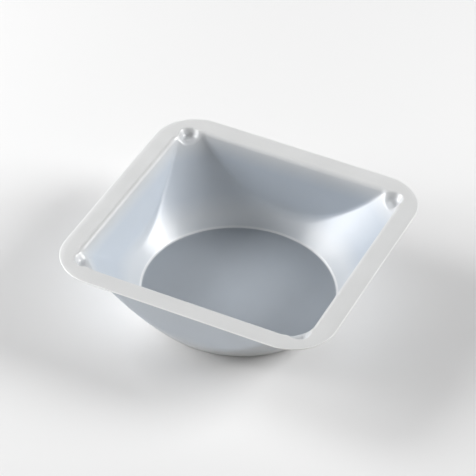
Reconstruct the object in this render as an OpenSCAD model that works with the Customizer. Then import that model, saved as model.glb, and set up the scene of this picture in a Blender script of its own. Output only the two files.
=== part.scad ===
// Square weighing boat: a shallow dish drawn from one thin sheet.
// Four steep flat walls and a cone bound the room inside, so that the corners are round
// and sloping and the floor is a flat disc. A small pocket in each corner of the rim
// keeps stacked dishes apart.
// The origin is the centre of the underside, and +Z points up out of the dish.

/* [Overall] */
// Width across the flange, from side to side
flange_w = 89; // [80:0.5:110]
// Height from the underside of the floor to the top of the flange
dish_h = 25; // [20:0.5:32]
// Thickness of the sheet, the same all over
sheet_t = 0.3; // [0.2:0.05:0.5]

/* [Flange] */
// Radius of the flange's four corners, seen from above
flange_corner_r = 14.4; // [10:0.1:20]
// Breadth of the flange in the middle of each side, up to the wall
side_land = 6.7; // [5:0.1:9]
// Breadth of the flange at each corner, up to the cone
corner_land = 7.2; // [6:0.1:10]
// Radius of the roll from the flange down into the dish, on its upper face
rim_roll_r = 1.5; // [0.8:0.1:2.2]

/* [Bowl] */
// Lean of the four flat walls away from upright, in degrees
wall_lean = 8; // [2:0.1:12]
// How far the foot of the cone stands in from the foot of each wall
cone_inset = 3.9; // [0.5:0.1:6]
// Radius of the curve between the floor and the cone, on its upper face
floor_curve_r = 1; // [0.6:0.1:4]

/* [Corner pockets] */
// Radius of the pocket in each corner, in the plane of the flange's top
pocket_r = 3.4; // [2.8:0.1:4.2]
// Lean of each pocket's side away from upright, in degrees
pocket_lean = 30; // [10:1:38]
// How far each pocket reaches out past the edge of the cone
pocket_reach = 3.1; // [2.4:0.1:3.6]
// Depth of each pocket's ledge below the top of the flange
pocket_depth = 2.4; // [1.8:0.1:3.2]
// Radius of the curve around the bottom of each pocket, on its upper face
pocket_curve_r = 0.7; // [0.4:0.1:1.6]
// Radius of the roll around the mouth of each pocket, on its upper face
pocket_roll_r = 0.8; // [0.6:0.1:1.4]

/* [Hidden] */
$fn = 144;

// How far a cutting solid runs past the faces that it opens
over = 1;
// How far an arc runs past a line that it would only touch, so that the two cross
bite = 0.005;
half_w = flange_w / 2;
// Distances from the centre, in the plane of the flange's top: to the walls, to the
// flange's edge at a corner, to the cone, and to the axis of a corner pocket
wall_x = half_w - side_land;
corner_x = half_w * sqrt(2) - flange_corner_r * (sqrt(2) - 1);
cone_x = corner_x - corner_land;
pocket_x = cone_x + pocket_reach - pocket_r;
// Inner depth, radius of the cone's foot, and the cone's lean away from upright
room_h = dish_h - sheet_t;
cone_foot_r = wall_x - room_h * tan(wall_lean) - cone_inset;
cone_lean = atan((cone_x - cone_foot_r) / room_h);
// Radii of the flat parts of the floor and of a pocket's ledge
floor_r = cone_foot_r - touch(floor_curve_r, cone_lean);
ledge_r = pocket_r - pocket_depth * tan(pocket_lean) - touch(pocket_curve_r, pocket_lean);

// Distance from the meeting point of two lines to where an arc of radius r touches them.
// One line is level, and the other leans away from upright by the angle given
function touch(r, lean) = r * tan(45 - lean / 2);

// In all that follows, skin is the depth into the sheet:
// 0 gives the faces inside the dish, and sheet_t the faces underneath

// Section through the room between two sides that lean apart and roll over into the
// flange. top_x is where a side's inner face meets the plane of the flange's top
module room_section(top_x, lean, roll_r, skin, base_z, top_z) {
    base_x = top_x + skin / cos(lean) - (dish_h - base_z) * tan(lean);
    roll_x = top_x + touch(roll_r, lean);
    roll_z = dish_h - roll_r;
    arc_r = roll_r - skin;
    side = [
        [base_x, base_z],
        [roll_x - arc_r * cos(lean), roll_z + arc_r * sin(lean)],
        [roll_x, roll_z],
        [roll_x, top_z]
    ];
    difference() {
        polygon(concat(side, [for (i = [len(side) - 1:-1:0]) [-side[i].x, side[i].y]]));
        for (x = [-roll_x, roll_x])
            translate([x, roll_z])
                circle(r = arc_r + bite);
    }
}

// Web that rounds the foot of a leaning side. Its arc is centred on the origin
module foot_web(arc_r, lean) {
    difference() {
        polygon([
            [0, 0],
            [0, -2 * arc_r],
            [2 * arc_r * cos(lean), -2 * arc_r * sin(lean)]
        ]);
        circle(r = arc_r + bite);
    }
}

// Turned room with a flat foot, its rounded edge and a leaning side that rolls over
module turned_room(top_x, lean, roll_r, foot_z, foot_r, curve_r, skin, top_z) {
    rotate_extrude()
        difference() {
            intersection() {
                room_section(top_x, lean, roll_r, skin, foot_z - skin, top_z);
                translate([0, -over])
                    square([flange_w, top_z + 2 * over]);
            }
            translate([foot_r, foot_z + curve_r])
                foot_web(curve_r + skin, lean);
        }
}

// Room between two opposite walls
module wall_room(skin) {
    rotate([90, 0, 0])
        linear_extrude(height = flange_w, center = true)
            room_section(wall_x, wall_lean, rim_roll_r, skin, -over, dish_h + over);
}

// The whole room inside the dish, bounded by its inner faces or by its outer ones
module room(skin, top_z) {
    intersection() {
        wall_room(skin);
        rotate(90)
            wall_room(skin);
        turned_room(cone_x, cone_lean, rim_roll_r, sheet_t, floor_r, floor_curve_r,
            skin, top_z);
    }
    for (turn = [45:90:315])
        rotate(turn)
            translate([pocket_x, 0, 0])
                turned_room(pocket_r, pocket_lean, pocket_roll_r, dish_h - pocket_depth,
                    ledge_r, pocket_curve_r, skin, top_z);
}

// Flat flange, as a plate without its opening
module flange_plate() {
    centre_x = half_w - flange_corner_r;
    translate([0, 0, dish_h - sheet_t])
        linear_extrude(height = sheet_t) {
            square([flange_w, 2 * centre_x], center = true);
            square([2 * centre_x, flange_w], center = true);
            for (x = [-centre_x, centre_x], y = [-centre_x, centre_x])
                translate([x, y])
                    circle(r = flange_corner_r);
        }
}

module dish() {
    color([0.86, 0.87, 0.88])
        difference() {
            union() {
                flange_plate();
                room(sheet_t, dish_h);
            }
            room(0, dish_h + over);
        }
}

dish();
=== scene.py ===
from math import atan, cos, pi, radians, sin, sqrt, tan

import bpy
import numpy as np
from mathutils import Matrix, Vector


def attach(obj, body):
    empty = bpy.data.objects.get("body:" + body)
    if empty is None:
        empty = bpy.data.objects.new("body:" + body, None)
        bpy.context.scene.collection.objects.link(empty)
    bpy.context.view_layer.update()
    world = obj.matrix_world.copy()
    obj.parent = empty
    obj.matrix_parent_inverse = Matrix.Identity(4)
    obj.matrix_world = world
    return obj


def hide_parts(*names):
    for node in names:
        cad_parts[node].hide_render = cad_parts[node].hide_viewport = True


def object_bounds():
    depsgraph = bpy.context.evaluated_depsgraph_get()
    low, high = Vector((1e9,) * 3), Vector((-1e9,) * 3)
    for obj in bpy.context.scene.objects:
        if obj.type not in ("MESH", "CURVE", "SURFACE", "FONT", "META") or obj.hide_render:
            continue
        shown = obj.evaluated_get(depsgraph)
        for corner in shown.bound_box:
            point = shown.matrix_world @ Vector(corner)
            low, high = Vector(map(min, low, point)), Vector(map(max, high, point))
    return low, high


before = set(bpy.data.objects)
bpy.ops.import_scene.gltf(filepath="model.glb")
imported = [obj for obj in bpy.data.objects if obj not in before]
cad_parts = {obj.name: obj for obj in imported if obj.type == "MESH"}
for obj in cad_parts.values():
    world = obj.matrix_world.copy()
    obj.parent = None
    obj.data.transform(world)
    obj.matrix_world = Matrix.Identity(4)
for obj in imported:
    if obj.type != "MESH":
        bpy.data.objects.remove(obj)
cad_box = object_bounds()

# Square weighing boat: the looks of a dish that is drawn from one thin milky sheet.
# Lengths are in metres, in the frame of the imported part: the origin is the centre of the
# underside, and +Z points up out of the dish.

bl_info = {
    "name": "Weighing boat",
    "version": (1, 0, 0),
    "blender": (4, 5, 0),
    "location": "View3D > Sidebar > Weighing boat",
    "description": "Forms a square weighing boat from one thin sheet and sets it on a stage",
    "category": "Add Mesh",
}

MM = 0.001


# ---------------------------------------------------------------------------
# Sizes and colours
# ---------------------------------------------------------------------------

def length(name, millimetres, description):
    return bpy.props.FloatProperty(
        name=name, description=description, default=millimetres * MM,
        precision=5, unit="LENGTH")


def angle(name, degrees, description):
    return bpy.props.FloatProperty(
        name=name, description=description, default=radians(degrees), subtype="ANGLE")


def colour(name, rgb, description):
    return bpy.props.FloatVectorProperty(
        name=name, description=description, default=rgb, size=3,
        min=0.0, max=1.0, subtype="COLOR")


def amount(name, default, description):
    return bpy.props.FloatProperty(
        name=name, description=description, default=default, min=0.0)


def count(name, default, description):
    return bpy.props.IntProperty(
        name=name, description=description, default=default, min=1)


class BoatSizes(bpy.types.PropertyGroup):
    """Sizes of the dish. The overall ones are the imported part's"""

    flange_width: length("Flange width", (cad_box[1].x - cad_box[0].x) / MM,
                         "Width over the flange, from side to side")
    depth: length("Depth", (cad_box[1].z - cad_box[0].z) / MM,
                  "Height from the underside of the floor to the top of the flange")
    sheet: length("Sheet", 0.3, "Thickness of the sheet")
    flange_corner: length("Flange corner", 14.4, "Radius of the flange's corners")
    side_land: length("Side land", 6.7, "Breadth of the flange beside a wall")
    corner_land: length("Corner land", 7.2, "Breadth of the flange beside the cone")
    rim_roll: length("Rim roll", 1.5, "Radius of the roll from the flange into the dish")
    cut_edge: length("Cut edge", 0.05, "Width of the worn bevel along the cut edge")
    wall_lean: angle("Wall lean", 8.0, "Lean of the flat walls away from upright")
    cone_inset: length("Cone inset", 3.9, "How far the cone's foot stands in from a wall's")
    cone_swell: length("Cone swell", 0.8, "How far the cone's side bulges past a straight one")
    floor_curve: length("Floor curve", 1.0, "Radius of the curve around the floor")
    crisp_crease: length("Crisp crease", 2.0, "Radius between wall and cone, near the rim")
    soft_crease: length("Soft crease", 8.0, "Radius between wall and cone, low in the dish")
    soft_below: length("Soft below", 3.0, "Height below which the creases are soft")
    crisp_above: length("Crisp above", 13.0, "Height above which the creases are crisp")
    pocket: length("Pocket", 3.4, "Radius of each corner pocket, at the flange's top")
    pocket_lean: angle("Pocket lean", 30.0, "Lean of a pocket's side away from upright")
    pocket_reach: length("Pocket reach", 3.1, "How far a pocket reaches out past the cone")
    pocket_depth: length("Pocket depth", 2.4, "Depth of a pocket's ledge below the flange")
    pocket_curve: length("Pocket curve", 1.4, "Radius around the bottom of a pocket")
    pocket_lip: length("Pocket lip", 1.3,
                       "Reach of the lips beside a pocket, or their radius between square faces")
    pocket_roll: length("Pocket roll", 0.8, "Radius of the roll around a pocket's mouth")
    columns: count("Columns", 528, "Columns of faces around the dish, a multiple of 8")
    floor_rings: count("Floor rings", 7, "Rings of faces across the flat floor")
    side_rings: count("Side rings", 66, "Rings of faces from the floor up to the flange")
    flange_rings: count("Flange rings", 5, "Rings of faces across the flange")


class BoatFinish(bpy.types.PropertyGroup):
    """Colours of the sheet, in linear light, among them painted light and shade"""

    flange_colour: colour("Flange colour", (0.73, 0.735, 0.74),
                          "Colour of the thick sheet at the flange")
    # Painted shade: the walls are coloured darker and bluer than the flange.
    shaded_wall_colour: colour("Drawn colour", (0.52, 0.58, 0.66),
                         "Colour of the walls, where the sheet is drawn thin")
    # Painted shade: the floor's edge is coloured darker and bluer than the flange.
    shaded_floor_colour: colour("Floor colour", (0.44, 0.485, 0.54), "Colour of the floor's edge")
    # Painted light: the middle of the floor is coloured lighter than its edge.
    floor_middle_light: amount("Floor whiter", 0.32, "How much whiter the middle of the floor is")
    # Painted light: a lighter band low on the walls, just above the floor's edge.
    lit_foot_colour: colour("Foot colour", (0.63, 0.665, 0.71),
                        "Colour of the sheet where it is whitened above the floor's edge")
    # Painted highlight: a bright ring around the floor's edge.
    highlight_ring_colour: colour("Ring colour", (0.92, 0.935, 0.95),
                        "Colour of the whitened ring around the floor")
    # Painted glow: the cut edge is coloured near white to stand in for light coming out of it.
    edge_glow_colour: colour("Edge colour", (0.93, 0.94, 0.95),
                        "Colour of the cut edge, where light comes out of the sheet")
    glow_colour: colour("Glow colour", (0.86, 0.86, 0.84),
                        "Colour of the light that goes on through the sheet")
    translucency: amount("Translucency", 0.28, "Share of the light that goes on through the sheet")
    gloss: amount("Gloss", 0.8, "Strength of the sheet's gloss")
    smoothest: amount("Smoothest", 0.285, "Roughness where the sheet is smoothest")
    roughest: amount("Roughest", 0.335, "Roughness where the sheet is roughest")
    cloudiness: amount("Cloudiness", 0.05, "How much the milkiness varies from place to place")


class BoatStage(bpy.types.PropertyGroup):
    """Place and lens of the camera"""

    azimuth: angle("Azimuth", 23.76, "Turn of the camera around the dish")
    elevation: angle("Elevation", 39.44, "Height of the camera above the horizon")
    roll: angle("Roll", 2.6, "Turn of the camera about its own line of view")
    distance: length("Distance", 760.3, "From the camera to the point that it looks at")
    lens: amount("Lens", 189.4, "Focal length in millimetres, on a 36 mm sensor")
    aim_right: length("Aim right", -1.12, "How far right of the middle the view is centred")
    aim_up: length("Aim up", -3.08, "How far above the middle the view is centred")


# ---------------------------------------------------------------------------
# The form of the face inside the dish
# ---------------------------------------------------------------------------

HALVINGS = 36           # times the span of heights is halved when the face is looked for
SAMPLES = 3000          # points at which a section is first measured
LEVEL = 0.0001 * MM     # how close to the flange's height a point counts as on the flange
RING_WIDTH = 0.9 * MM   # about the width of a ring of faces where the side is straight
RING_BEND = radians(7)  # about the turn that a ring of faces takes where the side bends
EVENINGS = 6            # times that each column's spacing is evened out with its neighbours'
CROWDING = 0.6          # how far the columns crowd towards the corners, from 0 to 1
HANDOVER = 1.0 * MM     # distance to both sides in which one face's lean turns into another's


def round_valley(a, b, r):
    """Joins two distances into the sheet where the faces meet around the room."""
    return np.minimum(-r, np.maximum(a, b)) + np.hypot(np.maximum(r + a, 0), np.maximum(r + b, 0))


def round_ridge(a, b, r):
    """Joins two distances into the sheet where one room opens into another."""
    return np.maximum(r, np.minimum(a, b)) - np.hypot(np.maximum(r - a, 0), np.maximum(r - b, 0))


def ease(x, low, high):
    """0 up to low, 1 from high, and a smooth step between."""
    share = np.clip((x - low) / (high - low), 0, 1)
    return share * share * (3 - 2 * share)


def mix(a, b, share):
    return a + (b - a) * share


class Form:
    """The face inside the dish, worked out from the sizes."""

    def __init__(self, sizes):
        self.sizes = s = sizes
        self.half = s.flange_width / 2
        corner = self.half * sqrt(2) - s.flange_corner * (sqrt(2) - 1)
        self.room = s.depth - s.sheet
        self.wall = self.half - s.side_land
        self.rim = corner - s.corner_land
        self.foot = self.wall - self.room * tan(s.wall_lean) - s.cone_inset
        self.cone_lean = atan((self.rim - self.foot) / self.room)
        self.pocket_place = (self.rim + s.pocket_reach - s.pocket) / sqrt(2)
        self.floor_edge = self.foot - s.floor_curve

    def into_sheet(self, x, y, z):
        """Distance into the sheet, which is negative in the room inside."""
        s = self.sizes
        x, y = np.abs(x), np.abs(y)
        below = s.depth - z
        across, radius = np.maximum(x, y), np.maximum(np.hypot(x, y), MM)
        wall = (across - self.wall) * cos(s.wall_lean) + below * sin(s.wall_lean)
        share = np.clip(1 - below / self.room, 0, 1)
        swell = 4 * s.cone_swell * share * (1 - share)
        cone = (radius - self.rim - swell) * cos(self.cone_lean) + below * sin(self.cone_lean)
        pocket = np.hypot(x - self.pocket_place, y - self.pocket_place) - s.pocket
        pocket = pocket * cos(s.pocket_lean) + below * sin(s.pocket_lean)

        # Where faces meet at an angle t, a curve of radius R takes R * (1 - cos t)
        alike = (cos(s.wall_lean) * cos(self.cone_lean) * across / radius
                 + sin(s.wall_lean) * sin(self.cone_lean))
        crease = mix(s.soft_crease, s.crisp_crease, ease(z, s.soft_below, s.crisp_above))
        room = round_valley(wall, cone, crease * (1 - alike))
        room = round_valley(room, s.sheet - z, s.floor_curve * (1 - sin(self.cone_lean)))
        pocket = round_valley(
            pocket, below - s.pocket_depth, s.pocket_curve * (1 - sin(s.pocket_lean)))
        lean = mix(s.wall_lean, self.cone_lean, ease(cone - wall, -HANDOVER, HANDOVER))
        beside = ease(pocket - room, -HANDOVER, HANDOVER)
        lean = mix(s.pocket_lean, lean, beside)
        roll = mix(s.pocket_roll, s.rim_roll, beside)
        room = round_ridge(room, pocket, s.pocket_lip)
        return round_ridge(room, below, roll * (1 - np.sin(lean)))

    def height(self, x, y):
        """Height of the face, found by halving the span that holds it."""
        low = np.full(x.shape, self.sizes.sheet)
        high = np.full(x.shape, self.sizes.depth)
        for _ in range(HALVINGS):
            middle = (low + high) / 2
            in_sheet = self.into_sheet(x, y, middle) > 0
            low = np.where(in_sheet, middle, low)
            high = np.where(in_sheet, high, middle)
        return high

    def flange_edge(self, turn):
        """Distance from the centre to the flange's edge, at a turn of up to 45 degrees."""
        centre = self.half - self.sizes.flange_corner
        straight = self.half / cos(turn)
        if straight * sin(turn) <= centre:
            return straight
        along = centre * (cos(turn) + sin(turn))
        return along + sqrt(along ** 2 - 2 * centre ** 2 + self.sizes.flange_corner ** 2)

    def side(self, turn):
        """Distances from the centre up the side of one column, closest where it bends."""
        s = self.sizes
        out = np.linspace(self.floor_edge, self.flange_edge(turn), SAMPLES)
        up = self.height(out * cos(turn), out * sin(turn))
        flat = int(np.argmax(up > s.depth - LEVEL))
        out, up = out[:flat + 1], up[:flat + 1]
        run, rise = np.diff(out), np.diff(up)
        bend = np.abs(np.diff(np.arctan2(rise, run), prepend=0))
        share = np.hypot(run, rise) / RING_WIDTH + bend / RING_BEND
        share = np.concatenate(([0], np.cumsum(share)))
        return np.interp(np.linspace(0, share[-1], s.side_rings + 1), share, out)

    def sections(self, turns):
        """Distances from the centre for each column, from the middle to the flange's edge."""
        s = self.sizes
        inner = 1 - (1 - np.linspace(0, 1, s.floor_rings + 1)[:-1]) ** 2
        outer = np.linspace(0, 1, s.flange_rings + 1)[1:] ** 2
        floor = np.tile(self.floor_edge * inner, (len(turns), 1))
        sides = np.array([self.side(turn) for turn in turns])
        for _ in range(EVENINGS):
            beside = np.concatenate((sides[1:2], sides, sides[-2:-1]))
            sides = (beside[:-2] + 2 * sides + beside[2:]) / 4
        edges = np.array([[self.flange_edge(turn)] for turn in turns])
        return np.hstack((floor, sides, mix(sides[:, -1:], edges, outer)))


# ---------------------------------------------------------------------------
# Making the piece
# ---------------------------------------------------------------------------

MERGE = 0.001 * MM          # points closer than this are merged
CUT_ANGLE = radians(60)     # edges that turn more than this get the worn bevel
SMOOTH_ANGLE = radians(50)  # faces that meet at less than this are shaded as one


def deselect():
    if bpy.context.mode != "OBJECT":
        bpy.ops.object.mode_set(mode="OBJECT")
    bpy.ops.object.select_all(action="DESELECT")


def apply_modifier(piece, name, kind, **settings):
    """Adds a modifier with those settings to the active piece, and applies it."""
    modifier = piece.modifiers.new(name, kind)
    for key, value in settings.items():
        setattr(modifier, key, value)
    bpy.ops.object.modifier_apply(modifier=name)


def press(piece, form, rings):
    """Presses the flat blank into the dish. Its X runs around and its Y runs outwards."""
    columns = form.sizes.columns
    eighth = columns // 8
    turns = 2 * pi * np.arange(columns + 1) / columns
    turns = turns + CROWDING * np.sin(4 * turns) / 4
    sections = form.sections(turns[:eighth + 1])

    place = np.zeros(len(piece.data.vertices) * 3)
    piece.data.vertices.foreach_get("co", place)
    place = place.reshape(-1, 3)
    column = np.rint((place[:, 0] + 0.5) * columns).astype(int)
    ring = np.rint((place[:, 1] + 0.5) * rings).astype(int)
    folded = column % (2 * eighth)
    folded = np.minimum(folded, 2 * eighth - folded)
    out = sections[folded, ring]
    place[:, 0] = out * np.cos(turns[column])
    place[:, 1] = out * np.sin(turns[column])
    place[:, 2] = form.height(place[:, 0], place[:, 1])
    piece.data.vertices.foreach_set("co", place.ravel())
    piece.data.update()


class WEIGH_BOAT_OT_form_sheet(bpy.types.Operator):
    """Form the dish from a flat blank, give it its thickness and finish its edge"""

    bl_idname = "weigh_boat.form_sheet"
    bl_label = "Form the sheet"

    def execute(self, context):
        sizes = context.scene.boat_sizes
        form = Form(sizes)
        rings = sizes.floor_rings + sizes.side_rings + sizes.flange_rings
        deselect()
        bpy.ops.mesh.primitive_grid_add(
            x_subdivisions=sizes.columns, y_subdivisions=rings, size=1)
        piece = context.object
        piece.name = piece.data.name = "formed_sheet"
        press(piece, form, rings)

        bpy.ops.object.mode_set(mode="EDIT")
        bpy.ops.mesh.select_all(action="SELECT")
        bpy.ops.mesh.remove_doubles(threshold=MERGE)
        bpy.ops.mesh.select_all(action="SELECT")
        bpy.ops.mesh.flip_normals()
        bpy.ops.object.mode_set(mode="OBJECT")
        apply_modifier(piece, "Thickness", "SOLIDIFY", thickness=sizes.sheet, offset=-1.0,
                       use_even_offset=True, use_quality_normals=True)
        apply_modifier(piece, "Cut edge", "BEVEL", width=sizes.cut_edge, segments=2,
                       limit_method="ANGLE", angle_limit=CUT_ANGLE)
        bpy.ops.object.shade_smooth_by_angle(angle=SMOOTH_ANGLE)

        piece.data.materials.append(milky_sheet(context.scene.boat_finish, form))
        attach(piece, "root")
        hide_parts("dish")
        return {"FINISHED"}


# ---------------------------------------------------------------------------
# Finish
# ---------------------------------------------------------------------------

POLYSTYRENE_IOR = 1.59
CLOUD_SIZE = 14 * MM              # size of the clouds in the milkiness
PATCH_SIZE = 3 * MM               # size of the patches of smoother and rougher sheet
NOISE_LOW, NOISE_HIGH = 0.3, 0.7  # span that the noise stays in, nearly everywhere

# Distances in from the cut edge at which its painted glow has ended, and up to which it is whole
EDGE_ENDS, EDGE_WHOLE = 0.35 * MM, 0.1 * MM
# Heights above the floor at which the painted highlight ring starts, is whole, fades and has ended
HIGHLIGHT_RING_HEIGHTS = (0.03 * MM, 0.08 * MM, 0.30 * MM, 0.55 * MM)
# Heights above the ground at which the painted lighter foot ends, and the painted shade of the
# walls starts and ends
FOOT_TOP, WALL_SHADE_FOOT, WALL_SHADE_TOP = 4 * MM, 9 * MM, 18 * MM


class Nodes:
    """Adds nodes to a material or world and joins them."""

    def __init__(self, owner):
        owner.use_nodes = True
        self.tree = owner.node_tree
        self.tree.nodes.clear()

    def add(self, kind, **settings):
        node = self.tree.nodes.new(kind)
        for key, value in settings.items():
            setattr(node, key, value)
        return node

    def join(self, source, target):
        self.tree.links.new(source, target)

    def noise(self, place, size, to_low, to_high):
        """Soft noise between two values, with features of that size."""
        texture = self.add("ShaderNodeTexNoise")
        texture.inputs["Scale"].default_value = 1 / size
        self.join(place, texture.inputs["Vector"])
        return self.span(texture.outputs["Fac"], NOISE_LOW, NOISE_HIGH, to_low, to_high)

    def span(self, value, low, high, to_low=0.0, to_high=1.0):
        """Carries a value from one span over to another, and holds it at the ends."""
        span = self.add("ShaderNodeMapRange")
        for key, number in zip(("From Min", "From Max", "To Min", "To Max"),
                               (low, high, to_low, to_high)):
            span.inputs[key].default_value = number
        self.join(value, span.inputs["Value"])
        return span.outputs["Result"]

    def vector(self, operation, source, *others):
        """Vector arithmetic on a source and on fixed vectors."""
        step = self.add("ShaderNodeVectorMath", operation=operation)
        self.join(source, step.inputs[0])
        for number, other in enumerate(others, start=1):
            step.inputs[number].default_value = other
        return step.outputs["Value" if operation == "LENGTH" else "Vector"]

    def blend(self, share, first, second, blend_type="MIX"):
        """Blends two colours, each of them fixed or joined."""
        blend = self.add("ShaderNodeMix", data_type="RGBA", blend_type=blend_type)
        for key, source in (("Factor", share), ("A", first), ("B", second)):
            if isinstance(source, bpy.types.NodeSocket):
                self.join(source, blend.inputs[key])
            elif key == "Factor":
                blend.inputs[key].default_value = source
            else:
                blend.inputs[key].default_value = (*source, 1)
        return blend.outputs["Result"]


def painted_height_shading(nodes, place, finish, form):
    """Painted light and shade by height: lightest at the flange, a painted highlight ring around
    the floor, a painted lighter band at the foot, and painted shade that makes the walls and the
    floor darker and bluer.
    """
    split = nodes.add("ShaderNodeSeparateXYZ")
    nodes.join(place, split.inputs[0])
    depth = form.sizes.depth
    ring_starts, ring_whole, ring_fades, ring_ends = (
        form.sizes.sheet + height for height in HIGHLIGHT_RING_HEIGHTS)
    # Painted shade on the floor and walls, a painted highlight ring around the floor and a painted
    # lighter foot
    steps = (
        (ring_starts, finish.shaded_floor_colour),
        (ring_whole, finish.highlight_ring_colour),
        (ring_fades, finish.highlight_ring_colour),
        (ring_ends, finish.lit_foot_colour),
        (FOOT_TOP, finish.lit_foot_colour),
        (WALL_SHADE_FOOT, finish.shaded_wall_colour),
        (WALL_SHADE_TOP, finish.shaded_wall_colour),
        (depth, finish.flange_colour),
    )
    ramp = nodes.add("ShaderNodeValToRGB")
    stops = ramp.color_ramp.elements
    for height, _ in steps[1:-1]:
        stops.new(height / depth)
    for stop, (height, tone) in zip(stops, steps):
        stop.position = height / depth
        stop.color = (*tone, 1)
    nodes.join(nodes.span(split.outputs["Z"], 0, depth), ramp.inputs["Fac"])
    return ramp.outputs["Color"]


def edge_glow_share(nodes, flat, form):
    """Share of the painted edge glow: 1 at the flange's cut edge and 0 a little way in from it."""
    corner = form.sizes.flange_corner
    centre = form.half - corner
    beyond = nodes.vector("SUBTRACT", nodes.vector("ABSOLUTE", flat), (centre, centre, 0))
    beyond = nodes.vector("MAXIMUM", beyond, (0, 0, 0))
    return nodes.span(nodes.vector("LENGTH", beyond), corner - EDGE_ENDS, corner - EDGE_WHOLE)


def milky_sheet(finish, form):
    """Milky polystyrene that lets some light through and is faintly clouded, with painted light
    and shade by height and a painted glow along the cut edge.
    """
    material = bpy.data.materials.new("milky_sheet")
    nodes = Nodes(material)
    place = nodes.add("ShaderNodeTexCoord").outputs["Object"]
    flat = nodes.vector("MULTIPLY", place, (1, 1, 0))
    # Painted light and shade, graded by height
    tone = painted_height_shading(nodes, place, finish, form)
    # Painted light: the middle of the floor is lighter, and it darkens towards the floor's edge as
    # painted shade.
    lit_middle = nodes.span(
        nodes.vector("LENGTH", flat), 0, form.floor_edge, 1 + finish.floor_middle_light, 1)
    tone = nodes.blend(1, tone, lit_middle, "MULTIPLY")
    cloud = nodes.noise(place, CLOUD_SIZE, 1 - finish.cloudiness, 1)
    tone = nodes.blend(1, tone, cloud, "MULTIPLY")
    # Painted glow along the cut edge
    tone = nodes.blend(edge_glow_share(nodes, flat, form), tone, finish.edge_glow_colour)
    rough = nodes.noise(place, PATCH_SIZE, finish.smoothest, finish.roughest)

    shader = nodes.add("ShaderNodeBsdfPrincipled")
    shader.inputs["IOR"].default_value = POLYSTYRENE_IOR
    shader.inputs["Specular IOR Level"].default_value = finish.gloss
    nodes.join(tone, shader.inputs["Base Color"])
    nodes.join(rough, shader.inputs["Roughness"])
    glow = nodes.add("ShaderNodeBsdfTranslucent")
    glow.inputs["Color"].default_value = (*finish.glow_colour, 1)
    both = nodes.add("ShaderNodeMixShader")
    both.inputs["Fac"].default_value = finish.translucency
    nodes.join(shader.outputs["BSDF"], both.inputs[1])
    nodes.join(glow.outputs["BSDF"], both.inputs[2])
    output = nodes.add("ShaderNodeOutputMaterial")
    nodes.join(both.outputs["Shader"], output.inputs["Surface"])
    return material


# ---------------------------------------------------------------------------
# Stage
# ---------------------------------------------------------------------------

SENSOR_WIDTH = 36.0    # of the camera, in millimetres
LAMP_DISTANCE = 0.8    # from the dish to each lamp
LAMPS = (
    # name, azimuth and elevation in degrees, size in metres, power in watts
    ("right_softbox", 120, 32, 0.4, 5.3),
    ("right_low_softbox", 118, 18, 0.4, 2.0),
    ("left_softbox", 270, 32, 0.4, 4.2),
    ("left_low_softbox", 280, 12, 0.4, 1.4),
    ("front_softbox", 298, 22, 0.4, 3.6),
    ("front_low_softbox", 306, 3, 0.08, 2.9),
)
FLOOR_SIZE = 3.0       # from side to side
FLOOR_GAP = 0.02 * MM  # keeps the floor and the dish's underside apart

# Linear colours of the floor and the backdrop, as they are seen and for the light they send back
FLOOR_SEEN = (0.8, 0.8, 0.8)
FLOOR_BOUNCE = (0.52, 0.47, 0.42)
BACKDROP_SEEN = (0.8, 0.8, 0.8)
BACKDROP_FILL = (0.0, 0.0, 0.0)


def direction(azimuth, elevation):
    """Points from the dish towards a place that is seen at that azimuth and elevation."""
    return Vector((sin(azimuth) * cos(elevation), -cos(azimuth) * cos(elevation), sin(elevation)))


def add_camera(stage, middle):
    """A camera that looks at the middle of the flange, turned and shifted as the stage says."""
    back = direction(stage.azimuth, stage.elevation)
    turn = back.to_track_quat("Z", "Y").to_matrix() @ Matrix.Rotation(stage.roll, 3, "Z")
    aim = middle + turn.col[0] * stage.aim_right + turn.col[1] * stage.aim_up
    bpy.ops.object.camera_add(location=aim + back * stage.distance, rotation=turn.to_euler())
    camera = bpy.context.object
    camera.name = "camera"
    camera.data.lens = stage.lens
    camera.data.sensor_width = SENSOR_WIDTH
    bpy.context.scene.camera = camera


def add_lamp(name, azimuth, elevation, size, power):
    """A round softbox that faces the dish. Its angles are measured as the camera's are."""
    back = direction(radians(azimuth), radians(elevation))
    turn = back.to_track_quat("Z", "Y").to_euler()
    bpy.ops.object.light_add(type="AREA", location=back * LAMP_DISTANCE, rotation=turn)
    lamp = bpy.context.object
    lamp.name = name
    lamp.data.shape = "DISK"
    lamp.data.size = size
    lamp.data.energy = power


def seen_share(nodes):
    """1 for the rays that show the background itself or its reflection."""
    path = nodes.add("ShaderNodeLightPath")
    share = path.outputs["Is Camera Ray"]
    for kind in ("Is Glossy Ray", "Is Transmission Ray"):
        either = nodes.add("ShaderNodeMath", operation="MAXIMUM")
        nodes.join(share, either.inputs[0])
        nodes.join(path.outputs[kind], either.inputs[1])
        share = either.outputs[0]
    return share


def seen_colour(nodes, seen, unseen):
    """One colour where the background is seen, and another for the light that it sends back."""
    return nodes.blend(seen_share(nodes), unseen, seen)


def pale_floor():
    material = bpy.data.materials.new("pale_floor")
    nodes = Nodes(material)
    shader = nodes.add("ShaderNodeBsdfDiffuse")
    nodes.join(seen_colour(nodes, FLOOR_SEEN, FLOOR_BOUNCE), shader.inputs["Color"])
    output = nodes.add("ShaderNodeOutputMaterial")
    nodes.join(shader.outputs["BSDF"], output.inputs["Surface"])
    return material


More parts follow.
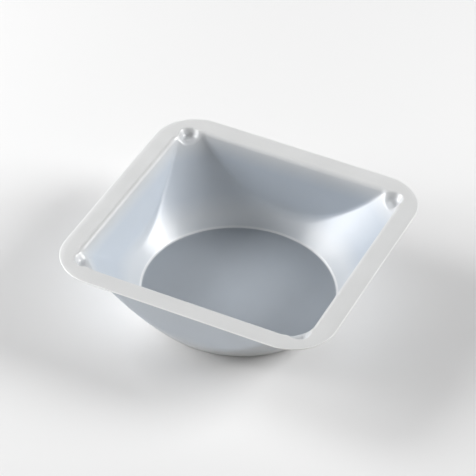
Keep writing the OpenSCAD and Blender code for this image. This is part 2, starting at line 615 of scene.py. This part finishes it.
def set_world(scene):
    scene.world = bpy.data.worlds.new("studio")
    nodes = Nodes(scene.world)
    light = nodes.add("ShaderNodeBackground")
    nodes.join(seen_colour(nodes, BACKDROP_SEEN, BACKDROP_FILL), light.inputs["Color"])
    output = nodes.add("ShaderNodeOutputWorld")
    nodes.join(light.outputs["Background"], output.inputs["Surface"])


class WEIGH_BOAT_OT_set_stage(bpy.types.Operator):
    """Lay the floor and set the camera and the lights around the dish"""

    bl_idname = "weigh_boat.set_stage"
    bl_label = "Set the stage"

    def execute(self, context):
        deselect()
        bpy.ops.mesh.primitive_plane_add(size=FLOOR_SIZE)
        floor = context.object
        floor.name = "floor"
        floor.location.z = -FLOOR_GAP
        floor.data.materials.append(pale_floor())
        set_world(context.scene)
        add_camera(context.scene.boat_stage, Vector((0, 0, cad_box[1].z)))
        for lamp in LAMPS:
            add_lamp(*lamp)
        context.scene.view_settings.view_transform = "Standard"
        return {"FINISHED"}


# ---------------------------------------------------------------------------
# Sidebar, registration and the run
# ---------------------------------------------------------------------------

GROUPS = {"boat_sizes": BoatSizes, "boat_finish": BoatFinish, "boat_stage": BoatStage}
OPERATORS = (WEIGH_BOAT_OT_form_sheet, WEIGH_BOAT_OT_set_stage)


class WEIGH_BOAT_PT_panel(bpy.types.Panel):
    """Sizes, finish and stage of the weighing boat"""

    bl_idname = "WEIGH_BOAT_PT_panel"
    bl_label = "Weighing boat"
    bl_space_type = "VIEW_3D"
    bl_region_type = "UI"
    bl_category = "Weighing boat"

    def draw(self, context):
        for name, group in GROUPS.items():
            box = self.layout.box()
            values = getattr(context.scene, name)
            for key in group.__annotations__:
                box.prop(values, key)
        for operator in OPERATORS:
            self.layout.operator(operator.bl_idname)


CLASSES = (*GROUPS.values(), *OPERATORS, WEIGH_BOAT_PT_panel)


def register():
    for cls in CLASSES:
        bpy.utils.register_class(cls)
    for name, group in GROUPS.items():
        setattr(bpy.types.Scene, name, bpy.props.PointerProperty(type=group))


def unregister():
    for name in GROUPS:
        delattr(bpy.types.Scene, name)
    for cls in reversed(CLASSES):
        bpy.utils.unregister_class(cls)


def main():
    register()
    bpy.ops.weigh_boat.form_sheet()
    bpy.ops.weigh_boat.set_stage()


if __name__ == "__main__":
    main()
